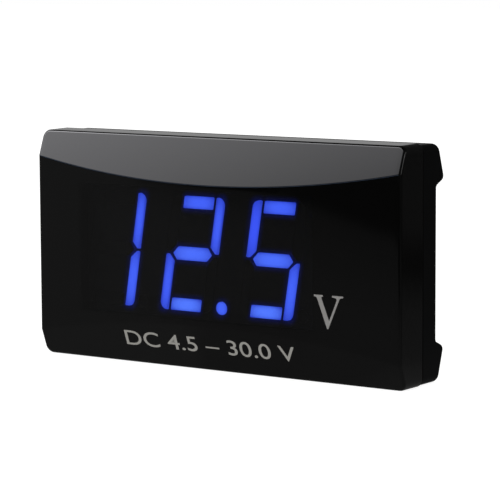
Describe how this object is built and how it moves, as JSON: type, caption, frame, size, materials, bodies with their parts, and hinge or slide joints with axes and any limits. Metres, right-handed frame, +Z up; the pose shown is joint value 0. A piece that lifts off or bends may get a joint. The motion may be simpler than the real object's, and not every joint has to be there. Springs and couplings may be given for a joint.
{
  "type": "digital panel meter",
  "caption": "Slim digital panel meter with a convex smoked gloss face over a slanted segment display, and a black rear cover with rails.",
  "frame": {"origin": "middle of the flat underside that the meter stands on, centred left to right and front to back", "axes": "+X to the right of someone reading the display, the face looks towards -Y, +Z up"},
  "size_m": [0.061, 0.0128, 0.0325],
  "materials": {
    "smoked_cap": "polished, smoked see-through",
    "black_case": "fine satin",
    "reflector_black": "matt black",
    "resin_lit": "glowing, diffusing blue",
    "resin_dark": "smoked, unlit",
    "led_chip": "clear over yellow",
    "board_laminate": "green solder mask",
    "moulded_chip": "matt black",
    "capacitor_ceramic": "matt tan",
    "resistor_ceramic": "black glaze",
    "solder": "tinned",
    "screw_steel": "plated"
  },
  "bodies": {
    "root": {"board_screws": "screw_steel", "circuit_board": "board_laminate", "controller_chip": "moulded_chip", "digit_1_point": "resin_dark", "digit_1_segment_a": "resin_dark", "digit_1_segment_b": "resin_lit", "digit_1_segment_c": "resin_lit", "digit_1_segment_d": "resin_dark", "digit_1_segment_e": "resin_dark", "digit_1_segment_f": "resin_dark", "digit_1_segment_g": "resin_dark", "digit_2_point": "resin_lit", "digit_2_segment_a": "resin_lit", "digit_2_segment_b": "resin_lit", "digit_2_segment_c": "resin_dark", "digit_2_segment_d": "resin_lit", "digit_2_segment_e": "resin_lit", "digit_2_segment_f": "resin_dark", "digit_2_segment_g": "resin_lit", "digit_3_point": "resin_dark", "digit_3_segment_a": "resin_lit", "digit_3_segment_b": "resin_dark", "digit_3_segment_c": "resin_lit", "digit_3_segment_d": "resin_lit", "digit_3_segment_e": "resin_dark", "digit_3_segment_f": "resin_lit", "digit_3_segment_g": "resin_lit", "display_reflector": "reflector_black", "divider_resistors": "resistor_ceramic", "filter_capacitors": "capacitor_ceramic", "front_cap": "smoked_cap", "led_chips": "led_chip", "protection_diode": "moulded_chip", "rear_cover": "black_case", "segment_resistors": "resistor_ceramic", "voltage_regulator": "moulded_chip", "wire_pads": "solder"}
  },
  "joints": []
}
